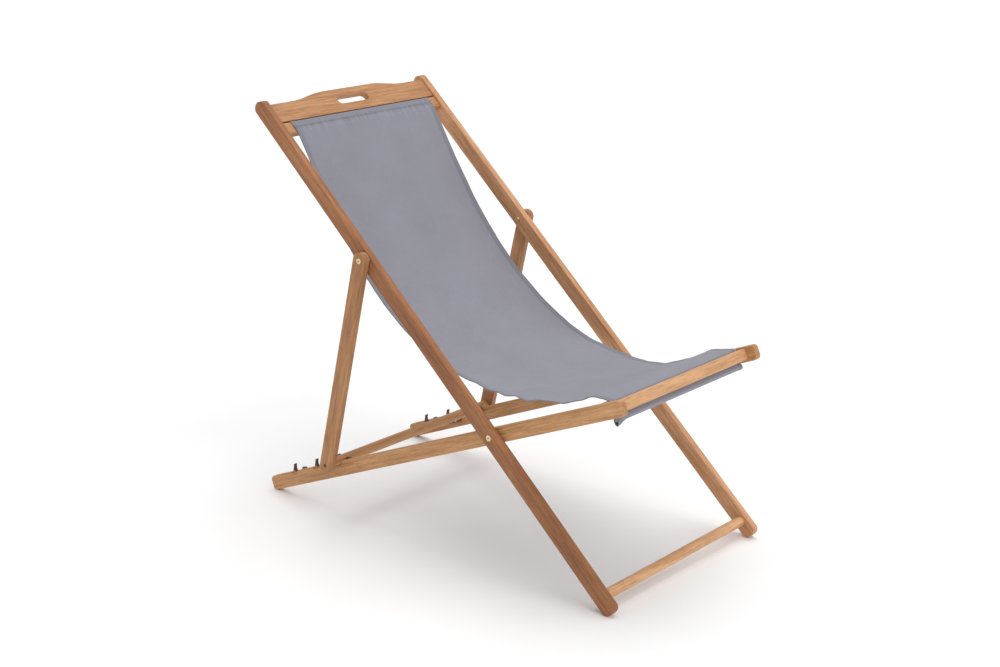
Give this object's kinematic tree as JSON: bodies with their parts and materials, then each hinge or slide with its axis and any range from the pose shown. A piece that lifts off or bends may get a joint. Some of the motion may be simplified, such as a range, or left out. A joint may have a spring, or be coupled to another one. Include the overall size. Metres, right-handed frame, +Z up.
{
  "type": "folding deck chair",
  "caption": "Folding deck chair: a reclined wooden back frame, a crossing seat frame, a notched prop frame and a hung cloth sling.",
  "frame": {"origin": "centre of the bounding box, on the floor", "axes": "+Z up, front towards -Y, +X towards the sitter's left; the chair is symmetric about the plane x = 0"},
  "size_m": [0.6, 1.0966, 0.9909],
  "materials": {
    "back_rail_left": "oiled",
    "back_rail_right": "oiled",
    "head_board": "oiled",
    "top_sling_rail": "oiled",
    "foot_stretcher": "oiled",
    "top_sling_rod": "satin",
    "sling": "woven",
    "main_pivot_bolts": "satin",
    "main_pivot_nuts": "satin",
    "main_pivot_washers": "satin",
    "prop_pivot_bolts": "satin",
    "prop_pivot_nuts": "satin",
    "prop_pivot_washers": "satin",
    "seat_rail_left": "oiled",
    "seat_rail_right": "oiled",
    "front_bar": "oiled",
    "front_sling_rail": "oiled",
    "front_sling_rod": "satin",
    "notch_clips": "satin",
    "clip_screws": "bright",
    "prop_strut_left": "oiled",
    "prop_strut_right": "oiled",
    "prop_dowel": "oiled",
    "dowel_screws": "dull"
  },
  "bodies": {
    "back_frame": {"back_rail_left": "back_rail_left", "back_rail_right": "back_rail_right", "head_board": "head_board", "top_sling_rail": "top_sling_rail", "foot_stretcher": "foot_stretcher", "top_sling_rod": "top_sling_rod", "sling": "sling", "main_pivot_bolts": "main_pivot_bolts", "main_pivot_nuts": "main_pivot_nuts", "main_pivot_washers": "main_pivot_washers", "prop_pivot_bolts": "prop_pivot_bolts", "prop_pivot_nuts": "prop_pivot_nuts", "prop_pivot_washers": "prop_pivot_washers"},
    "seat_frame": {"seat_rail_left": "seat_rail_left", "seat_rail_right": "seat_rail_right", "front_bar": "front_bar", "front_sling_rail": "front_sling_rail", "front_sling_rod": "front_sling_rod", "notch_clips": "notch_clips", "clip_screws": "clip_screws"},
    "prop_frame": {"prop_strut_left": "prop_strut_left", "prop_strut_right": "prop_strut_right", "prop_dowel": "prop_dowel", "dowel_screws": "dowel_screws"}
  },
  "joints": [
    {"name": "seat_fold", "type": "hinge", "parent": "back_frame", "child": "seat_frame", "pos_m": [0, -0.19715, 0.32077], "axis": [-1, 0, 0], "range_deg": [0, 110.8], "deforming": ["sling"]},
    {"name": "prop_swing", "type": "hinge", "parent": "back_frame", "child": "prop_frame", "pos_m": [0, 0.17725, 0.66265], "axis": [-1, 0, 0], "range_deg": [0, 33.4]}
  ],
  "couplings": [
    {"joint": "prop_swing", "follows": "seat_fold", "ratio": 0.3}
  ]
}
